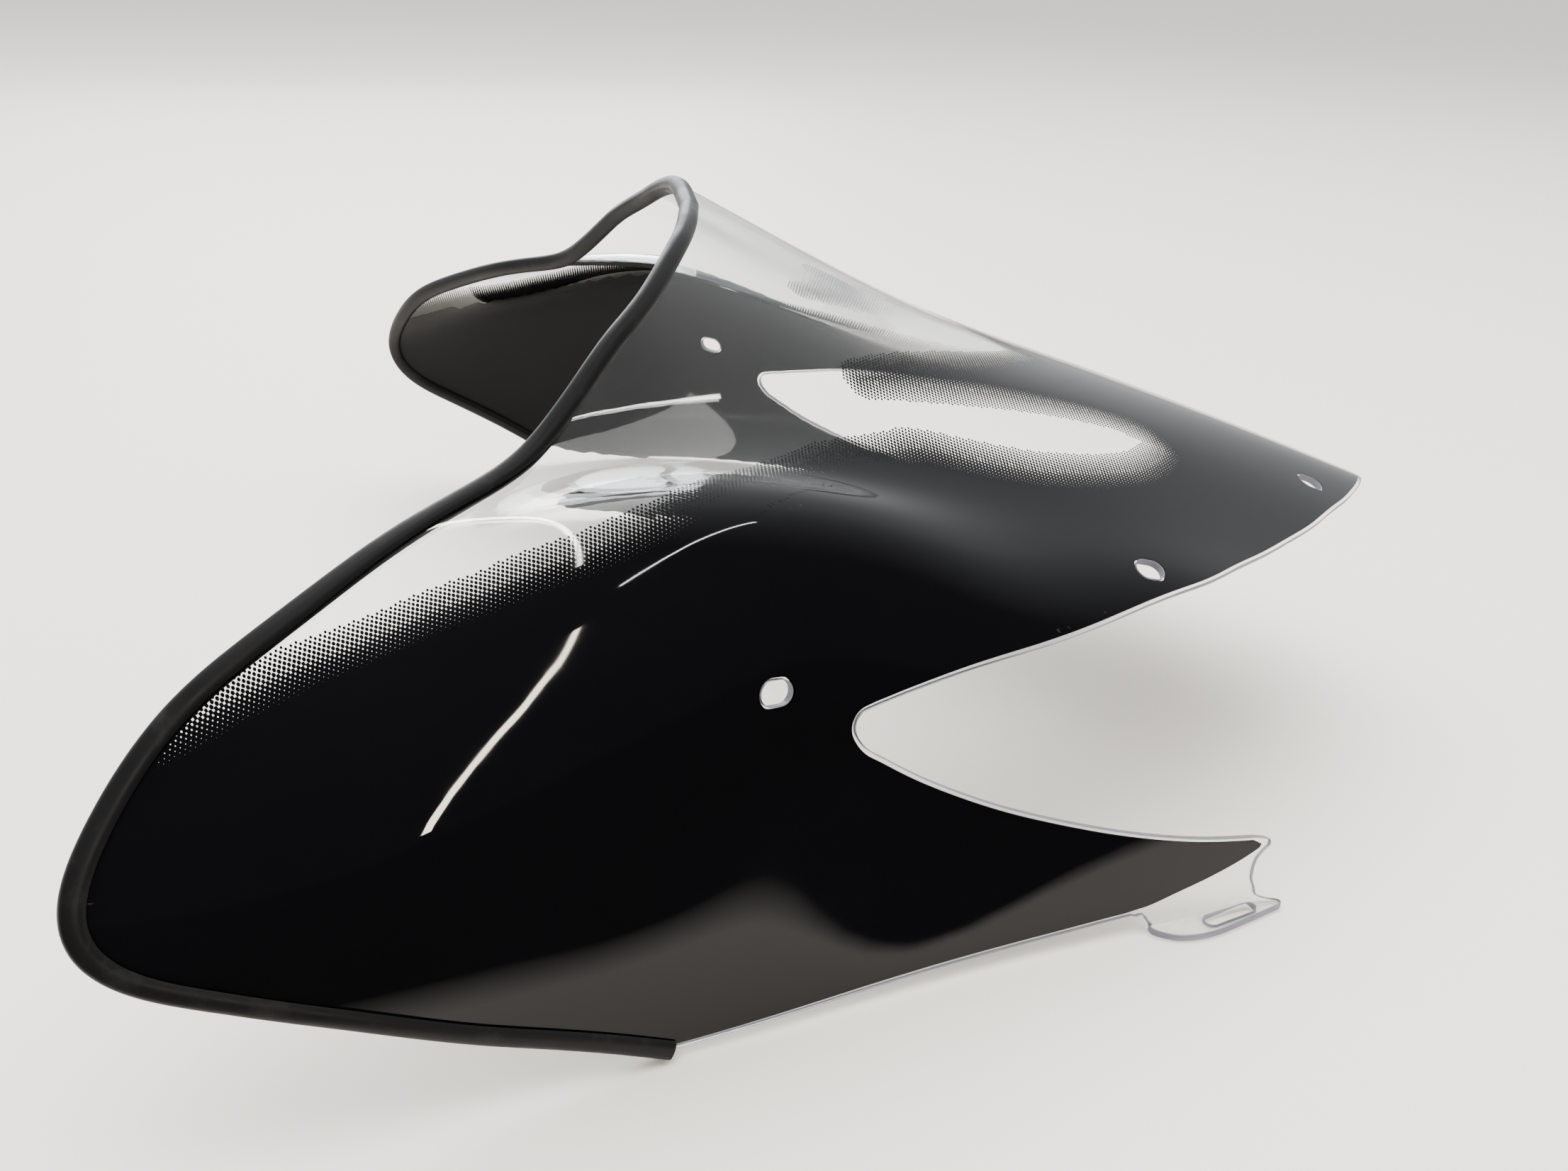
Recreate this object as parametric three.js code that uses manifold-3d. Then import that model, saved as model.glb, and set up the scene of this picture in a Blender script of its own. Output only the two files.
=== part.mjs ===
// Motorcycle windshield screen: a clear thermoformed sheet with a black printed mask on its
// inner face and a black rubber channel pushed over its rear edge.
// Millimetres, +Z up, nose towards -Y, the plane of symmetry is X = 0.
import * as THREE from "three";
import { mergeVertices } from "three/addons/utils/BufferGeometryUtils.js";
import Module from "manifold-3d";

const wasm = await Module();
wasm.setup();

// ---------------------------------------------------------------- driving dimensions
const SHEET = 2.5; // thickness of the clear sheet
const INK = 0.3; // thickness given to the printed skin
const GAP = 0.3; // clearance between pieces that touch
const CLEAR_MARGIN = 1.6; // unprinted border along the bare cut edges
const TRIM_WALL = 1.8; // each leg of the rubber channel
const TRIM_BASE = 2.6; // how far the channel's closed side reaches past the sheet's edge
const TRIM_LEG = 4; // how far the legs reach over the sheet
const TRIM_OVERHANG = 1.5; // how far the channel runs past the sheet's lower corners
const TRIM_ROUND = 0.6; // the channel's lips and back are eased by about this much
const CORNER_SLANT = 1.6; // the lower edge leaves the rear edge at a slant, so it runs this much further
const HOLE_ALONG = 10; // screw hole, fore and aft
const HOLE_ACROSS = 7.2; // screw hole, across the screen
const HOLE_MARGIN = 0.9; // unprinted ring round a screw hole
const SLOT_LENGTH = 21; // slot in a mounting tab, end to end
const SLOT_WIDTH = 5;
const FLANGE = 2.5; // thickness of a tab's foot
const TAB_RECESS = 0.05; // how far a tab's wall lies inside the sheet's faces where they join
const COLUMNS = 36; // facets from the ridge to the lower edge
const ROWS = 13; // facets of the printed area from rear to front

// The screen stands on its two lower corners and its two tabs, which tips the mould's own
// level by a small angle, nose up.
const TIP = THREE.MathUtils.degToRad(2.1);
const REST_Y = -0.3;
const REST_Z = 4.77;

// The mould: sections across the right half, each from the ridge outwards and down to the
// foot, as [x, z] at one station y. Marks are distances along a section, one per point.
const MARKS = [0, 58, 104, 138, 170, 202, 246, 325];
const SECTIONS = [
  {
    y: -220,
    points: [[0, 80], [28, 74], [52, 65], [74, 54], [93, 42], [109, 28], [121, 8], [130, -14]],
  },
  {
    y: -160,
    points: [[0, 104.5], [34, 99], [60, 89], [84, 78], [104, 67], [121, 51], [133, 26], [143, -10]],
  },
  {
    y: -100,
    points: [[0, 126.5], [40, 122], [70, 111], [95, 101], [116, 92], [134, 75], [146, 44], [159, -10]],
  },
  {
    y: -40,
    points: [[0, 148.5], [45, 144], [78, 130], [103, 118], [127, 109], [147, 92], [157, 58], [175, -10]],
  },
  {
    y: 17,
    points: [[0, 175.5], [52, 171], [88, 150], [116, 135], [141, 133], [160, 111], [171, 70], [194, -10]],
  },
  {
    y: 60,
    points: [[0, 198.5], [57, 194], [96, 168], [125, 146], [154, 144], [178, 121], [193, 75], [207, -10]],
  },
  {
    y: 100,
    points: [[0, 222], [62, 215], [103, 187], [131, 150], [160, 144], [190, 122], [210, 75], [217, -10]],
  },
  {
    y: 150,
    points: [[0, 248], [66, 243], [112, 206], [142, 158], [173, 135], [206, 111], [228, 74], [226, -10]],
  },
  {
    y: 210,
    points: [[0, 280], [70, 275], [118, 238], [156, 192], [190, 148], [214, 114], [237, 86], [241, 30]],
  },
];

// Outlines of the right half on the mould, as [mark, y].
const REAR_EDGE = [
  [0, 56], [40, 58.5], [64, 63], [92, 73], [110, 85], [124, 96], [146, 117.5], [168, 150],
  [189, 181], [203, 194], [219, 202], [240, 208], [260, 209.5], [271, 205], [276, 194],
  [277, 182], [282, 152], [295, 119], [315, 75],
];
const NOSE_EDGE = [
  [0, -217], [15, -213.5], [30, -207.5], [53, -198], [81, -183], [102, -170], [126, -147],
  [146, -126], [165, -108], [185, -77.5], [200, -51], [212, -27], [224, -4], [229, 7],
];
const NOTCH_ROOT = [[229, 7], [232, 13.5], [236.5, 17], [241.5, 15], [248, 7]];
const PRONG_EDGE = [[248, 7], [254.5, -4], [264, -27], [271, -51], [277, -76], [281, -102], [281.5, -121]];
const PRONG_TIP = [[281.5, -121], [283, -126], [287, -127], [292, -124]];
const TAB_FRONT = [[292, -124], [297, -121], [305, -120.3], [314, -121.8]];
const PRINT_LIMIT = [[284, -122], [296, -108], [311, -80]];
const HOLES = [[223.5, 40.7], [163.5, -86.7], [51, -180.5]];

// The clear window in the print, right half, seen from above as [x, y].
const WINDOW = [
  [0, -75], [27, -53], [54, -22], [72, 5], [64, -20], [51, -47], [42, -76], [40, -97],
  [45, -109], [54, -111], [67, -96], [81, -66], [87, -40], [91, -15], [97, -2], [112, 22],
  [135, 44], [159, 67], [171, 86], [180, 113], [184.5, 131], [193.5, 157], [203, 174],
];

// A mounting tab, right side: the wall's end below the sheet's lower edge on the mould, and
// the foot's outline and slot seen from above.
const TAB_WALL_REAR = [[304, -79], [315, -79.5], [320.5, -83.5]];
const TAB_WALL_FRONT = [[304, -119.5], [313, -121], [317.5, -122]];
const FOOT = [
  [161.3, -82.2], [163.6, -82.4], [165.4, -83.2], [167.4, -86], [169, -90.5], [169.1, -95],
  [168.4, -100], [166.3, -106.5], [161, -118], [155.9, -128.6], [154.3, -131.2], [152.7, -131.6],
  [151.2, -129.8], [150.2, -126.2], [150.2, -122], [151, -119.5], [156.9, -100],
];
const SLOT_CENTRE = [158.6, -111.8];
const SLOT_ANGLE = THREE.MathUtils.degToRad(67.5);

// ---------------------------------------------------------------- the mould surface
function naturalSpline(knots, values) {
  const last = knots.length - 1;
  const bend = new Array(last + 1).fill(0);
  const carry = new Array(last + 1).fill(0);
  for (let i = 1; i < last; i++) {
    const before = knots[i] - knots[i - 1];
    const after = knots[i + 1] - knots[i];
    const share = before / (before + after);
    const pivot = share * bend[i - 1] + 2;
    const turn = (values[i + 1] - values[i]) / after - (values[i] - values[i - 1]) / before;
    bend[i] = (share - 1) / pivot;
    carry[i] = ((6 * turn) / (before + after) - share * carry[i - 1]) / pivot;
  }
  for (let i = last - 1; i >= 0; i--) bend[i] = bend[i] * bend[i + 1] + carry[i];
  return (t) => {
    let i = 0;
    while (i < last - 1 && t > knots[i + 1]) i++;
    const step = knots[i + 1] - knots[i];
    const a = (knots[i + 1] - t) / step;
    const b = (t - knots[i]) / step;
    const curve = (a ** 3 - a) * bend[i] + (b ** 3 - b) * bend[i + 1];
    return a * values[i] + b * values[i + 1] + (curve * step * step) / 6;
  };
}

// Each mark's own line fore and aft, once for x and once for z.
const stations = SECTIONS.map((section) => section.y);
const lines = MARKS.map((_, k) =>
  [0, 1].map((axis) => naturalSpline(stations, SECTIONS.map((section) => section.points[k][axis]))),
);
const mirroredMarks = [...MARKS.slice(1).reverse().map((mark) => -mark), ...MARKS];

function sectionAt(y) {
  const x = lines.map(([lineX]) => lineX(y));
  const z = lines.map(([, lineZ]) => lineZ(y));
  return [
    naturalSpline(mirroredMarks, [...x.slice(1).reverse().map((v) => -v), ...x]),
    naturalSpline(mirroredMarks, [...z.slice(1).reverse(), ...z]),
  ];
}

function mould(mark, y) {
  const [x, z] = sectionAt(y);
  return new THREE.Vector3(x(mark), y, z(mark));
}

// The mould's outward normal.
function mouldNormal(mark, y) {
  const across = mould(mark + 0.5, y).sub(mould(mark - 0.5, y));
  const forward = mould(mark, y + 0.5).sub(mould(mark, y - 0.5));
  return across.cross(forward).normalize();
}

// From the mould's level to the way the screen stands.
function toRest(point) {
  return point.applyAxisAngle(new THREE.Vector3(1, 0, 0), -TIP).add(new THREE.Vector3(0, REST_Y, REST_Z));
}

function offMould([mark, y], height) {
  return toRest(mould(mark, y).addScaledVector(mouldNormal(mark, y), height));
}

// ---------------------------------------------------------------- outlines on the mould
function sample(points, count) {
  const curve = new THREE.SplineCurve(points.map(([a, b]) => new THREE.Vector2(a, b)));
  return curve.getSpacedPoints(count).map((p) => [p.x, p.y]);
}

// Several curves joined end to end, each with its own number of steps.
function joined(...curves) {
  return curves.flatMap(([points, count], i) => sample(points, count).slice(i ? 1 : 0));
}

// An outline moved sideways on the mould; a positive distance moves the rear edge forwards.
function inset(outline, distance) {
  return outline.map(([mark, y], i) => {
    const before = outline[Math.max(i - 1, 0)];
    const after = outline[Math.min(i + 1, outline.length - 1)];
    const run = Math.hypot(after[0] - before[0], after[1] - before[1]);
    const across = (after[1] - before[1]) / run;
    const ahead = (after[0] - before[0]) / run;
    return [i ? mark + across * distance : mark, y - ahead * distance];
  });
}

function between(from, to, share) {
  return from.map(([mark, y], i) => [mark + (to[i][0] - mark) * share, y + (to[i][1] - y) * share]);
}

// ---------------------------------------------------------------- solids
function geometryOf(positions, indices) {
  const geometry = new THREE.BufferGeometry();
  geometry.setAttribute("position", new THREE.Float32BufferAttribute(positions, 3));
  geometry.setIndex(indices);
  return geometry;
}

// Whether the diagonal of a four-sided facet runs from p to s, the shorter way, with the
// corners p, q on one side and r, s on the other.
function crossesStraight(p, q, r, s) {
  return p.distanceToSquared(s) <= q.distanceToSquared(r);
}

// A closed solid between two grids of points of the same size. The middle grid decides how
// each facet is split, so that neighbouring pieces are split alike.
function closedGrid(upper, lower, middle) {
  const width = upper[0].length;
  const under = upper.length * width;
  const positions = [...upper, ...lower].flat().flatMap((p) => p.toArray());
  const indices = [];
  const facet = (a, b, c) => {
    indices.push(a, b, c);
    indices.push(a + under, c + under, b + under);
  };
  for (let j = 0; j < upper.length - 1; j++) {
    for (let i = 0; i < width - 1; i++) {
      const a = j * width + i;
      const b = a + width;
      if (crossesStraight(middle[j][i], middle[j][i + 1], middle[j + 1][i], middle[j + 1][i + 1])) {
        facet(a, b, b + 1);
        facet(a, b + 1, a + 1);
      } else {
        facet(a, b, a + 1);
        facet(b, b + 1, a + 1);
      }
    }
  }
  const front = (upper.length - 1) * width;
  const rim = [];
  for (let i = 0; i < width - 1; i++) rim.push(front + i);
  for (let j = upper.length - 1; j > 0; j--) rim.push(j * width + width - 1);
  for (let i = width - 1; i > 0; i--) rim.push(i);
  for (let j = 0; j < upper.length - 1; j++) rim.push(j * width);
  rim.forEach((p, i) => {
    const q = rim[(i + 1) % rim.length];
    indices.push(p, p + under, q + under, p, q + under, q);
  });
  return geometryOf(positions, indices);
}

// A line of points on the right half, from X = 0 outwards, continued on the left half.
function acrossBoth(points) {
  return [...points.slice(1).reverse().map((p) => new THREE.Vector3(-p.x, p.y, p.z)), ...points];
}

// A shell over both halves between two heights off the mould.
function shell(rows, low, high) {
  const at = (height) => rows.map((row) => acrossBoth(row.map((place) => offMould(place, height))));
  return closedGrid(at(high), at(low), at(0));
}

// A patch of the right side's wall between two lines of places.
function wallPatch(rear, front, steps, low, high) {
  const rows = rowsBetween(rear, front, steps);
  const at = (height) => rows.map((row) => row.map((place) => offMould(place, height)));
  return closedGrid(at(high), at(low), at(0));
}

function solid(geometry) {
  const bare = geometry.clone();
  bare.deleteAttribute("normal");
  bare.deleteAttribute("uv");
  const merged = mergeVertices(bare, 1e-4);
  return new wasm.Manifold(
    new wasm.Mesh({
      numProp: 3,
      vertProperties: Float32Array.from(merged.attributes.position.array),
      triVerts: Uint32Array.from(merged.index.array),
    }),
  );
}

function geometryFrom(manifold) {
  const mesh = manifold.getMesh();
  return geometryOf(Array.from(mesh.vertProperties), Array.from(mesh.triVerts));
}

// The same solid on the other side of X = 0.
function mirrored(geometry) {
  const bare = geometry.clone();
  bare.deleteAttribute("normal");
  bare.deleteAttribute("uv");
  const copy = mergeVertices(bare, 1e-4);
  copy.scale(-1, 1, 1);
  const order = Array.from(copy.index.array);
  for (let i = 0; i < order.length; i += 3) [order[i + 1], order[i + 2]] = [order[i + 2], order[i + 1]];
  copy.setIndex(order);
  return copy;
}

function slotShape(length, width, steps) {
  const shape = new THREE.Shape();
  const reach = (length - width) / 2;
  shape.absarc(reach, 0, width / 2, -Math.PI / 2, Math.PI / 2, false);
  shape.absarc(-reach, 0, width / 2, Math.PI / 2, (3 * Math.PI) / 2, false);
  return new THREE.Shape(shape.getPoints(steps));
}

// A cutter for one screw hole, standing square to the mould and larger all round by a margin.
function holeCutter([mark, y], margin) {
  const depth = 14;
  const shape = slotShape(HOLE_ALONG + 2 * margin, HOLE_ACROSS + 2 * margin, 6);
  const cutter = new THREE.ExtrudeGeometry(shape, { depth, bevelEnabled: false });
  cutter.translate(0, 0, -depth / 2);
  const up = mouldNormal(mark, y);
  const along = mould(mark, y + 0.5).sub(mould(mark, y - 0.5)).normalize();
  const side = up.clone().cross(along);
  cutter.applyMatrix4(new THREE.Matrix4().makeBasis(along, side, up).setPosition(mould(mark, y)));
  cutter.applyMatrix4(new THREE.Matrix4().makeRotationX(-TIP).setPosition(0, REST_Y, REST_Z));
  return cutter;
}

// ---------------------------------------------------------------- lines shared by the pieces
// Every line has the same number of places, so that the facets of two pieces run parallel.
const cornerMark = REAR_EDGE.at(-1)[0];
const rearLine = sample(REAR_EDGE, COLUMNS);
const cornerY = rearLine[COLUMNS][1];
const trimLine = inset(rearLine, TRIM_LEG);
trimLine[COLUMNS] = [cornerMark, cornerY - CORNER_SLANT * TRIM_LEG];
const printRear = inset(rearLine, TRIM_LEG + 2 * GAP + 1);
printRear[COLUMNS] = [cornerMark - CLEAR_MARGIN, cornerY - (CORNER_SLANT + 1) * TRIM_LEG];
const edgeSteps = { nose: 17, root: 4, prong: 8, tip: 3, tab: 4 };
const bareEdge = joined(
  [NOSE_EDGE, edgeSteps.nose], [NOTCH_ROOT, edgeSteps.root], [PRONG_EDGE, edgeSteps.prong],
);
const frontLine = [
  ...bareEdge,
  ...joined([PRONG_TIP, edgeSteps.tip], [TAB_FRONT, edgeSteps.tab]).slice(1),
];
const printFront = [
  ...inset(bareEdge, -CLEAR_MARGIN),
  ...sample(PRINT_LIMIT, edgeSteps.tip + edgeSteps.tab - 1),
];

function rowsBetween(from, to, steps) {
  return Array.from({ length: steps + 1 }, (_, j) => between(from, to, j / steps));
}
const printedRows = rowsBetween(printRear, printFront, ROWS);
const sheetRows = [rearLine, trimLine, ...printedRows, ...rowsBetween(printFront, frontLine, 2).slice(1)];

// ---------------------------------------------------------------- pieces
function makeScreen() {
  let screen = solid(shell(sheetRows, -SHEET / 2, SHEET / 2));

  const face = SHEET / 2 - TAB_RECESS;
  const wall = wallPatch(TAB_WALL_REAR, TAB_WALL_FRONT, 5, -face, face);
  const footShape = new THREE.Shape(FOOT.map(([x, y]) => new THREE.Vector2(x, y)).reverse());
  const foot = new THREE.ExtrudeGeometry(footShape, { depth: FLANGE, bevelEnabled: false });
  const slot = new THREE.ExtrudeGeometry(slotShape(SLOT_LENGTH, SLOT_WIDTH, 6), {
    depth: 3 * FLANGE,
    bevelEnabled: false,
  });
  slot.rotateZ(SLOT_ANGLE).translate(SLOT_CENTRE[0], SLOT_CENTRE[1], -FLANGE);

  for (const side of [(g) => g, mirrored]) {
    screen = screen.add(solid(side(wall))).add(solid(side(foot))).subtract(solid(side(slot)));
    for (const place of HOLES) screen = screen.subtract(solid(side(holeCutter(place, 0))));
  }
  return geometryFrom(screen);
}

function makePrint() {
  const top = -SHEET / 2 - GAP;
  let print = solid(shell(printedRows, top - INK, top));

  const right = sample(WINDOW, 48);
  const left = right.slice(1).reverse().map(([x, y]) => [-x, y]);
  const [corner] = right.at(-1);
  const clearOfAll = 300;
  const open = [[corner, clearOfAll], [-corner, clearOfAll]];
  const outline = [...left, ...right, ...open].map(([x, y]) => new THREE.Vector2(x, y + REST_Y));
  const cutter = new THREE.ExtrudeGeometry(new THREE.Shape(outline), {
    depth: clearOfAll,
    bevelEnabled: false,
  });
  print = print.subtract(solid(cutter));
  for (const side of [(g) => g, mirrored]) {
    for (const place of HOLES) print = print.subtract(solid(side(holeCutter(place, HOLE_MARGIN))));
  }
  return geometryFrom(print);
}

// The channel's section at one place: b is the distance in from the sheet's edge, n the height
// off the sheet's middle. Under the legs it follows the sheet. Its ends are cut square.
function makeTrim() {
  const inner = SHEET / 2 + GAP;
  const outer = inner + TRIM_WALL;
  const profile = [
    [TRIM_LEG, inner], [-GAP, inner], [-GAP, -inner], [TRIM_LEG, -inner],
    [TRIM_LEG, TRIM_ROUND - outer], [TRIM_LEG - TRIM_ROUND, -outer], [GAP, -outer],
    [TRIM_ROUND - TRIM_BASE, -inner], [-TRIM_BASE, 0], [TRIM_ROUND - TRIM_BASE, inner],
    [GAP, outer], [TRIM_LEG - TRIM_ROUND, outer], [TRIM_LEG, outer - TRIM_ROUND],
  ];
  const [mark, y] = rearLine[COLUMNS];
  const run = [mark - rearLine[COLUMNS - 1][0], y - rearLine[COLUMNS - 1][1]];
  const [ahead, across] = run.map((v) => v / Math.hypot(...run));
  const end = [mark + ahead * TRIM_OVERHANG, y + across * TRIM_OVERHANG];
  const squareFrom = ([m, v]) => [m + across * TRIM_LEG, v - ahead * TRIM_LEG];
  const edgePlaces = [...rearLine, end];
  const legPlaces = [...trimLine.slice(0, COLUMNS), squareFrom(rearLine[COLUMNS]), squareFrom(end)];

  const edge = acrossBoth(edgePlaces.map((place) => offMould(place, 0)));
  const leg = acrossBoth(legPlaces.map((place) => offMould(place, 0)));
  const rise = (places, feet) =>
    acrossBoth(places.map((place) => offMould(place, SHEET))).map((p, i) => p.sub(feet[i]).normalize());
  const edgeUp = rise(edgePlaces, edge);
  const legUp = rise(legPlaces, leg);
  const positions = edge.flatMap((foot, i) => {
    const inwards = leg[i].clone().sub(foot).normalize();
    return profile.flatMap(([b, n]) => {
      const share = Math.max(b, 0) / TRIM_LEG;
      const base = b < 0 ? foot.clone().addScaledVector(inwards, b) : foot.clone().lerp(leg[i], share);
      return base.addScaledVector(edgeUp[i].clone().lerp(legUp[i], share).normalize(), n).toArray();
    });
  });

  const around = profile.length;
  const indices = [];
  for (let j = 0; j < edge.length - 1; j++) {
    const legToEdge = crossesStraight(leg[j], edge[j], leg[j + 1], edge[j + 1]);
    for (let i = 0; i < around; i++) {
      const next = (i + 1) % around;
      const a = j * around + i;
      const b = j * around + next;
      if (legToEdge === profile[i][0] > profile[next][0]) {
        indices.push(a, b, b + around, a, b + around, a + around);
      } else {
        indices.push(a, b, a + around, b, b + around, a + around);
      }
    }
  }
  const face = THREE.ShapeUtils.triangulateShape(profile.map(([b, n]) => new THREE.Vector2(b, n)), []);
  const last = (edge.length - 1) * around;
  for (const [a, b, c] of face) {
    indices.push(a, b, c);
    indices.push(last + a, last + c, last + b);
  }
  return geometryOf(positions, indices);
}

// ---------------------------------------------------------------- assembly
const material = {
  clear: new THREE.MeshStandardMaterial({ color: 0xe8ecec, roughness: 0.05, transparent: true, opacity: 0.3 }),
  ink: new THREE.MeshStandardMaterial({ color: 0x0b0b0d, roughness: 0.5 }),
  rubber: new THREE.MeshStandardMaterial({ color: 0x151516, roughness: 0.45 }),
};

function piece(name, geometry, finish) {
  const mesh = new THREE.Mesh(geometry, finish);
  mesh.name = name;
  return mesh;
}

const screenAssembly = new THREE.Group();
screenAssembly.add(
  piece("screen", makeScreen(), material.clear),
  piece("printed_mask", makePrint(), material.ink),
  piece("edge_trim", makeTrim(), material.rubber),
);

export default screenAssembly;
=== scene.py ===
"""Motorcycle windshield screen: clear formed sheet, dot-faded black print, rubber edge channel.

Lengths are in millimetres until a mesh is made, when they turn into metres. The sheet is
described by marks (distance along a section, from the ridge) and stations (y, fore and aft).
"""

import math

import bpy
import numpy as np
from mathutils import Matrix, Vector
from mathutils.geometry import delaunay_2d_cdt


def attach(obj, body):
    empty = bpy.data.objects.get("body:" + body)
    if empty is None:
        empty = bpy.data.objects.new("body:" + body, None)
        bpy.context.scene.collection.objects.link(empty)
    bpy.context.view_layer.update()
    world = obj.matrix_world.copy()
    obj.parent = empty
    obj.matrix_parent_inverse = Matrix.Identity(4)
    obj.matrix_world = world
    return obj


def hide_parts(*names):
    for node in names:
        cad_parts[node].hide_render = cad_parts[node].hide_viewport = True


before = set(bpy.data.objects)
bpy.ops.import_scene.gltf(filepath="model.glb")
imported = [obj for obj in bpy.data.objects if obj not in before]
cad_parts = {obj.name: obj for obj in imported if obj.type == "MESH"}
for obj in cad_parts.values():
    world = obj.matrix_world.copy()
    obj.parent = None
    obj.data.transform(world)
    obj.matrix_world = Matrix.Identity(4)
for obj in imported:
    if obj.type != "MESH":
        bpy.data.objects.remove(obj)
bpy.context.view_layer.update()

# ------------------------------------------------------------------ dimensions
SHEET = 2.5
EDGE_ROUND = 0.35
CLEAR_MARGIN = 1.6  # unprinted border along the bare edges
HOLE_MARGIN = 0.9  # unprinted ring round a screw hole
TRIM_COVER = 2.0  # the print ends this far in from the rear edge, hidden by the channel
HOLE_ALONG = 10.0
HOLE_ACROSS = 7.2
DOT_PITCH = 1.28
FADE_WING = 13.0  # width of the dot fade on the wings
FADE_FRONT = 19.0  # and on the front lobes
WING_FROM = 20.0  # stations behind this one have the wings' fade,
FRONT_FROM = -40.0  # those ahead of this one the front's
BEND = 2.4  # length taken by half of a tab's bend
LONG_REACH = 9.0  # how far the long outlines' bends are spread along them
SLOT_LENGTH = 21.0
SLOT_WIDTH = 5.0
TIP = math.radians(2.1)
REST_Y = -0.3
REST_Z = 4.77

# The mould: sections of the right half as (x, z) at each mark, one section per station.
MARKS = [0, 58, 104, 138, 170, 202, 246, 325]
SECTIONS = {
    -220: [(0, 80), (28, 74), (52, 65), (74, 54), (93, 42), (109, 28), (121, 8), (130, -14)],
    -160: [(0, 104.5), (34, 99), (60, 89), (84, 78), (104, 67), (121, 51), (133, 26), (143, -10)],
    -100: [(0, 126.5), (40, 122), (70, 111), (95, 101), (116, 92), (134, 75), (146, 44), (159, -10)],
    -40: [(0, 148.5), (45, 144), (78, 130), (103, 118), (127, 109), (147, 92), (157, 58), (175, -10)],
    17: [(0, 175.5), (52, 171), (88, 150), (116, 135), (141, 133), (160, 111), (171, 70), (194, -10)],
    60: [(0, 198.5), (57, 194), (96, 168), (125, 146), (154, 144), (178, 121), (193, 75), (207, -10)],
    100: [(0, 222), (62, 215), (103, 187), (131, 150), (160, 144), (190, 122), (210, 75), (217, -10)],
    150: [(0, 248), (66, 243), (112, 206), (142, 158), (173, 135), (206, 111), (228, 74), (226, -10)],
    210: [(0, 280), (70, 275), (118, 238), (156, 192), (190, 148), (214, 114), (237, 86), (241, 30)],
}

# Outlines of the right half, as (mark, station).
REAR_EDGE = [
    (0, 56), (40, 58.5), (64, 63), (92, 73), (110, 85), (124, 96), (146, 117.5), (168, 150),
    (189, 181), (203, 194), (219, 202), (240, 208), (260, 209.5), (271, 205), (276, 194),
    (277, 182), (282, 152), (295, 119), (315, 75),
]
LOWER_EDGE = [(315, 75), (315.5, 20), (315, -40), (313, -75.5)]
TAB_REAR = [(313, -75.5), (313.8, -77.2), (313.6, -79.6), (316.5, -81.2), (319.5, -82.6)]
TAB_FRONT = [(316, -122.3), (311, -121.4), (304.6, -120.3), (295.6, -121.6), (290, -124.6)]
PRONG_TIP = [(290, -124.6), (286.6, -126.8), (283, -126.2), (281.5, -121)]
PRONG_EDGE = [(281.5, -121), (281, -102), (277, -76), (271, -51), (264, -27), (254.5, -4), (248, 7)]
NOTCH_ROOT = [(248, 7), (244.5, 12.6), (241, 15.6), (237, 17), (233, 15.4), (231, 11.8), (229, 7)]
NOSE_EDGE = [
    (229, 7), (224, -4), (212, -27), (200, -51), (185, -77.5), (165, -108), (146, -126),
    (126, -147), (102, -170), (81, -183), (53, -198), (30, -207.5), (15, -213.5), (0, -217),
]
PRINT_LIMIT = [
    (310.5, -76.5), (309.5, -82), (306.5, -90), (301, -103), (294.6, -114), (288, -122), (285.6, -123),
]
HOLES = [(223.5, 40.7), (163.5, -86.7), (51, -180.5)]

# Middle of the dot fade, right half, from the centre line out to the rear edge.
WINDOW = [
    (0, -76), (36, -53), (60, -31), (76, -12), (90, 5), (82, -13), (67, -47), (58, -76),
    (55.5, -90), (58.5, -104), (65, -109.5), (78, -111.5), (99, -96), (112, -66), (115.5, -40),
    (115, -15), (120, -2), (131, 22), (153, 44), (174, 65), (184, 86), (187, 113), (186.5, 131),
    (188.5, 157), (193, 173), (199, 186), (214, 215),
]

# Outline of the right tab's foot from above, from its rear end round to its front end.
FOOT_EDGE = [
    (163.6, -82.4), (165.4, -83.2), (167.4, -86), (169.0, -90.5), (169.1, -95), (168.4, -100),
    (166.3, -106.5), (161, -118), (155.9, -128.6), (154.3, -131.2), (152.7, -131.6),
    (151.2, -129.8), (150.2, -126.2),
]
SLOT_CENTRE = (158.6, -111.8)
SLOT_ANGLE = math.radians(67.5)


# ------------------------------------------------------------------ natural splines
def bend_matrix(knots):
    """Second derivatives of the natural cubic spline through values at the knots."""
    n = len(knots)
    steps = np.diff(knots)
    left = np.eye(n)
    right = np.zeros((n, n))
    for i in range(1, n - 1):
        left[i, i - 1 : i + 2] = steps[i - 1], 2 * (steps[i - 1] + steps[i]), steps[i]
        right[i, i - 1] = 6 / steps[i - 1]
        right[i, i] = -6 / steps[i - 1] - 6 / steps[i]
        right[i, i + 1] = 6 / steps[i]
    return np.linalg.solve(left, right)


def weights(knots, bends, at):
    """How much each knot's value counts at each place."""
    i = np.clip(np.searchsorted(knots, at) - 1, 0, len(knots) - 2)
    step = knots[i + 1] - knots[i]
    a = (knots[i + 1] - at) / step
    b = (at - knots[i]) / step
    rows = np.arange(len(at))
    out = (a**3 - a)[:, None] * bends[i] + (b**3 - b)[:, None] * bends[i + 1]
    out *= (step * step / 6)[:, None]
    out[rows, i] += a
    out[rows, i + 1] += b
    return out


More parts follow.
